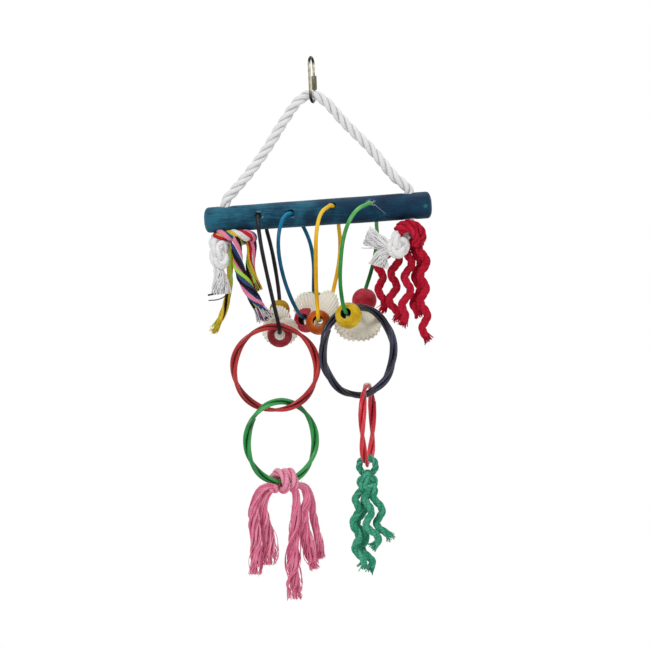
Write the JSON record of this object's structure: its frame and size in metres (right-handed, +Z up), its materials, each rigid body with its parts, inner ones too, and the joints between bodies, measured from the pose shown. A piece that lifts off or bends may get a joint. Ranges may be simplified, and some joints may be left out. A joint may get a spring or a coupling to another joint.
{
  "type": "hanging bird toy",
  "caption": "Hanging cage toy for a bird: a wooden perch on a rope yoke, with beads and shells on cane loops, twisted cane rings and rope tassels.",
  "frame": {"origin": "inside the quick link's top bend, where a hook or a cage bar carries it", "axes": "+Z up, +X to the right along the perch as the picture shows it, +Y away from the viewer"},
  "size_m": [0.1748, 0.0914, 0.414],
  "materials": {
    "nickel_plate": "nickel plate on steel, bright",
    "perch_wood": "blue dye on bare wood, matt",
    "white_cotton": "twisted cotton, undyed",
    "black_cane": "dyed cane, satin",
    "blue_cane": "dyed cane, satin",
    "yellow_cane": "dyed cane, satin",
    "green_cane": "dyed cane, satin",
    "red_bead_wood": "dyed wood, satin",
    "mustard_bead_wood": "dyed wood, satin",
    "green_bead_wood": "dyed wood, satin",
    "orange_bead_wood": "dyed wood, satin",
    "yellow_bead_wood": "dyed wood, satin",
    "sea_shell": "natural shell, ribbed and matt",
    "red_ring_cane": "dyed cane, satin",
    "green_ring_cane": "dyed cane, satin",
    "navy_ring_cane": "dyed cane, satin",
    "crimson_ring_cane": "dyed cane, satin",
    "pink_cotton": "dyed cotton, soft",
    "teal_cotton": "dyed cotton, soft",
    "red_cotton": "dyed cotton, soft",
    "mixed_cotton": "cotton of several dyed yarns"
  },
  "bodies": {
    "hanger": {"quick_link": "nickel_plate"},
    "link_nut": {"link_nut": "nickel_plate"},
    "perch": {"perch_dowel": "perch_wood", "yoke_rope": "white_cotton", "left_stop_knot": "white_cotton", "right_stop_knot": "white_cotton", "left_rope_end": "white_cotton", "right_rope_end_upper": "white_cotton", "right_rope_end_lower": "white_cotton", "black_cane_loop": "black_cane", "blue_cane_loop": "blue_cane", "yellow_cane_loop": "yellow_cane", "green_cane_loop": "green_cane", "red_hitch": "red_cotton", "red_tail_1": "red_cotton", "red_tail_2": "red_cotton", "red_tail_3": "red_cotton", "red_tail_4": "red_cotton", "red_tail_5": "red_cotton", "multicolour_hitch": "mixed_cotton", "multicolour_tail_1": "mixed_cotton", "multicolour_tail_2": "mixed_cotton", "multicolour_tail_3": "mixed_cotton"},
    "red_front_bead": {"red_front_bead": "red_bead_wood"},
    "mustard_bead": {"mustard_bead": "mustard_bead_wood"},
    "red_middle_bead": {"red_middle_bead": "red_bead_wood"},
    "green_bead": {"green_bead": "green_bead_wood"},
    "orange_bead": {"orange_bead": "orange_bead_wood"},
    "yellow_bead": {"yellow_bead": "yellow_bead_wood"},
    "red_back_bead": {"red_back_bead": "red_bead_wood"},
    "black_loop_shell_front": {"black_loop_shell_front": "sea_shell"},
    "black_loop_shell_back": {"black_loop_shell_back": "sea_shell"},
    "blue_loop_shell": {"blue_loop_shell": "sea_shell"},
    "yellow_loop_shell": {"yellow_loop_shell": "sea_shell"},
    "green_loop_shell_front": {"green_loop_shell_front": "sea_shell"},
    "green_loop_shell_back": {"green_loop_shell_back": "sea_shell"},
    "red_ring": {"red_cane_ring": "red_ring_cane"},
    "green_ring": {"green_cane_ring": "green_ring_cane"},
    "navy_ring": {"navy_cane_ring": "navy_ring_cane"},
    "crimson_ring": {"crimson_cane_ring": "crimson_ring_cane"},
    "pink_tassel": {"pink_hitch": "pink_cotton", "pink_tail_1": "pink_cotton", "pink_tail_2": "pink_cotton", "pink_tail_3": "pink_cotton", "pink_tail_4": "pink_cotton", "pink_tail_5": "pink_cotton"},
    "teal_tassel": {"teal_knot": "teal_cotton", "teal_tail_1": "teal_cotton", "teal_tail_2": "teal_cotton", "teal_tail_3": "teal_cotton", "teal_tail_4": "teal_cotton"}
  },
  "joints": [
    {"name": "nut_slide", "type": "slide", "parent": "hanger", "child": "link_nut", "axis": [0, 0, 1], "range_m": [0, 0.0075]},
    {"name": "perch_swing", "type": "hinge", "parent": "hanger", "child": "perch", "pos_m": [0.0004, 0, -0.0276], "axis": [1, 0, 0], "range_deg": [-25, 25]},
    {"name": "red_front_bead_spin", "type": "hinge", "parent": "perch", "child": "red_front_bead", "pos_m": [-0.0237, -0.0129, -0.21065], "axis": [-0.0002, 0.9999, 0.0168], "continuous": true},
    {"name": "mustard_bead_spin", "type": "hinge", "parent": "perch", "child": "mustard_bead", "pos_m": [-0.02408, 0.01951, -0.19122], "axis": [-0.0284, 0.171, 0.9849], "continuous": true},
    {"name": "red_middle_bead_spin", "type": "hinge", "parent": "perch", "child": "red_middle_bead", "pos_m": [-0.00366, 0.01633, -0.19947], "axis": [0.2636, 0.9642, -0.0286], "continuous": true},
    {"name": "green_bead_spin", "type": "hinge", "parent": "perch", "child": "green_bead", "pos_m": [0.00222, 0.03885, -0.18446], "axis": [-0.0078, 0.0904, 0.9959], "continuous": true},
    {"name": "orange_bead_spin", "type": "hinge", "parent": "perch", "child": "orange_bead", "pos_m": [0.00583, -0.01258, -0.20114], "axis": [0.0443, 0.9986, -0.0291], "continuous": true},
    {"name": "yellow_bead_spin", "type": "hinge", "parent": "perch", "child": "yellow_bead", "pos_m": [0.0284, -0.03089, -0.19589], "axis": [0.2396, 0.9648, -0.1088], "continuous": true},
    {"name": "red_back_bead_spin", "type": "hinge", "parent": "perch", "child": "red_back_bead", "pos_m": [0.04091, 0.02994, -0.18405], "axis": [0.183, 0.1893, 0.9647], "continuous": true},
    {"name": "black_loop_shell_front_swing", "type": "hinge", "parent": "perch", "child": "black_loop_shell_front", "pos_m": [-0.0237, -0.00066, -0.20824], "axis": [0, 0.9915, 0.1301], "range_deg": [-12, 12]},
    {"name": "black_loop_shell_back_swing", "type": "hinge", "parent": "perch", "child": "black_loop_shell_back", "pos_m": [-0.0237, 0.00872, -0.20559], "axis": [0.0002, 0.9025, 0.4307], "range_deg": [0, 15]},
    {"name": "blue_loop_shell_swing", "type": "hinge", "parent": "perch", "child": "blue_loop_shell", "pos_m": [-0.00033, 0.02764, -0.19738], "axis": [0.2947, 0.9351, 0.197], "range_deg": [0, 25]},
    {"name": "yellow_loop_shell_swing", "type": "hinge", "parent": "perch", "child": "yellow_loop_shell", "pos_m": [0.00681, -0.0012, -0.19957], "axis": [0.1699, 0.9852, 0.022], "range_deg": [-15, 0]},
    {"name": "green_loop_shell_front_swing", "type": "hinge", "parent": "perch", "child": "green_loop_shell_front", "pos_m": [0.03632, 0.00924, -0.19489], "axis": [0.2119, -0.976, 0.0502], "range_deg": [-10, 5]},
    {"name": "green_loop_shell_back_swing", "type": "hinge", "parent": "perch", "child": "green_loop_shell_back", "pos_m": [0.03678, 0.0126, -0.195], "axis": [-0.0686, 0.9975, -0.0192], "range_deg": [0, 15]},
    {"name": "red_ring_swing", "type": "hinge", "parent": "perch", "child": "red_ring", "pos_m": [-0.0237, -0.02553, -0.20878], "axis": [0.0092, 0.9887, -0.1495], "range_deg": [0, 12]},
    {"name": "green_ring_swing", "type": "hinge", "parent": "red_ring", "child": "green_ring", "pos_m": [-0.02252, -0.02514, -0.26718], "axis": [0.9865, 0.0863, 0.1392], "range_deg": [-20, 20]},
    {"name": "navy_ring_swing", "type": "hinge", "parent": "perch", "child": "navy_ring", "pos_m": [0.03341, -0.00912, -0.1945], "axis": [0.2027, 0.9787, 0.0318], "range_deg": [-7, 0]},
    {"name": "crimson_ring_swing", "type": "hinge", "parent": "navy_ring", "child": "crimson_ring", "pos_m": [0.04301, -0.00404, -0.25537], "axis": [0.7815, 0.5678, 0.2588], "range_deg": [-20, 20]},
    {"name": "pink_tassel_swing", "type": "hinge", "parent": "green_ring", "child": "pink_tassel", "pos_m": [-0.02252, -0.02514, -0.32138], "axis": [0.8387, 0.5446, 0], "range_deg": [-25, 25]},
    {"name": "teal_tassel_swing", "type": "hinge", "parent": "crimson_ring", "child": "teal_tassel", "pos_m": [0.04301, -0.00404, -0.30914], "axis": [0.1392, 0.9903, 0], "range_deg": [-25, 25]}
  ]
}
